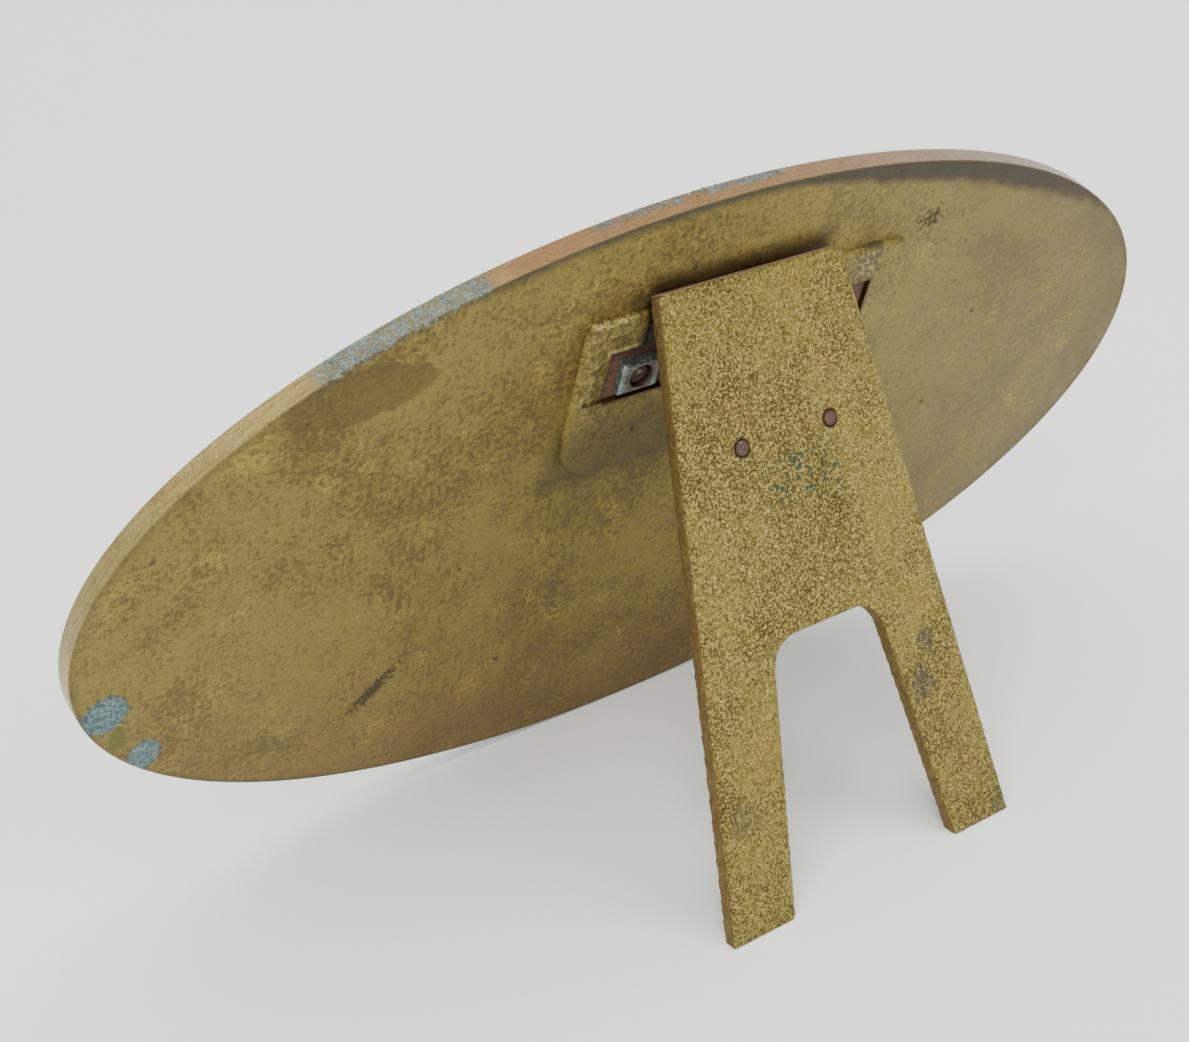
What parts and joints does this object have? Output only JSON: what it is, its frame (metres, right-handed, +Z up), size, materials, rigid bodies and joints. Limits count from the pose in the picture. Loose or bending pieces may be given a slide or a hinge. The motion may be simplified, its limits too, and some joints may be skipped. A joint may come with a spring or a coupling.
{
  "type": "easel-backed plate",
  "caption": "Oval cast brass plate held upright by a folding, two-footed brass strut riveted to a small steel hinge on its back.",
  "frame": {"origin": "centre of the bounding box on the table plane, with the plate standing on its lowest edge and the strut open on its feet", "axes": "+X across the plate along the hinge pin, +Y from the plate's front towards the strut behind it, +Z up"},
  "size_m": [0.2, 0.0672, 0.0992],
  "materials": {
    "plate_brass": "cast, olive-brown tarnish with a worn bright rim",
    "strut_brass": "sand-cast, speckled golden",
    "rusted_steel": "mild steel with brown rust",
    "zinc_steel": "dull zinc plate"
  },
  "bodies": {
    "plate_side": {"plate": "plate_brass", "hinge_leaf_fixed": "rusted_steel", "hinge_pin": "rusted_steel", "stud_left": "rusted_steel", "stud_right": "rusted_steel", "nut_left": "zinc_steel", "nut_right": "zinc_steel"},
    "strut_side": {"easel_strut": "strut_brass", "hinge_leaf_moving": "rusted_steel", "rivet_left": "rusted_steel", "rivet_right": "rusted_steel"}
  },
  "joints": [
    {"name": "strut_hinge", "type": "hinge", "parent": "plate_side", "child": "strut_side", "pos_m": [0, -0.00085, 0.08049], "axis": [-1, 0, 0], "range_deg": [0, 39.4]}
  ]
}
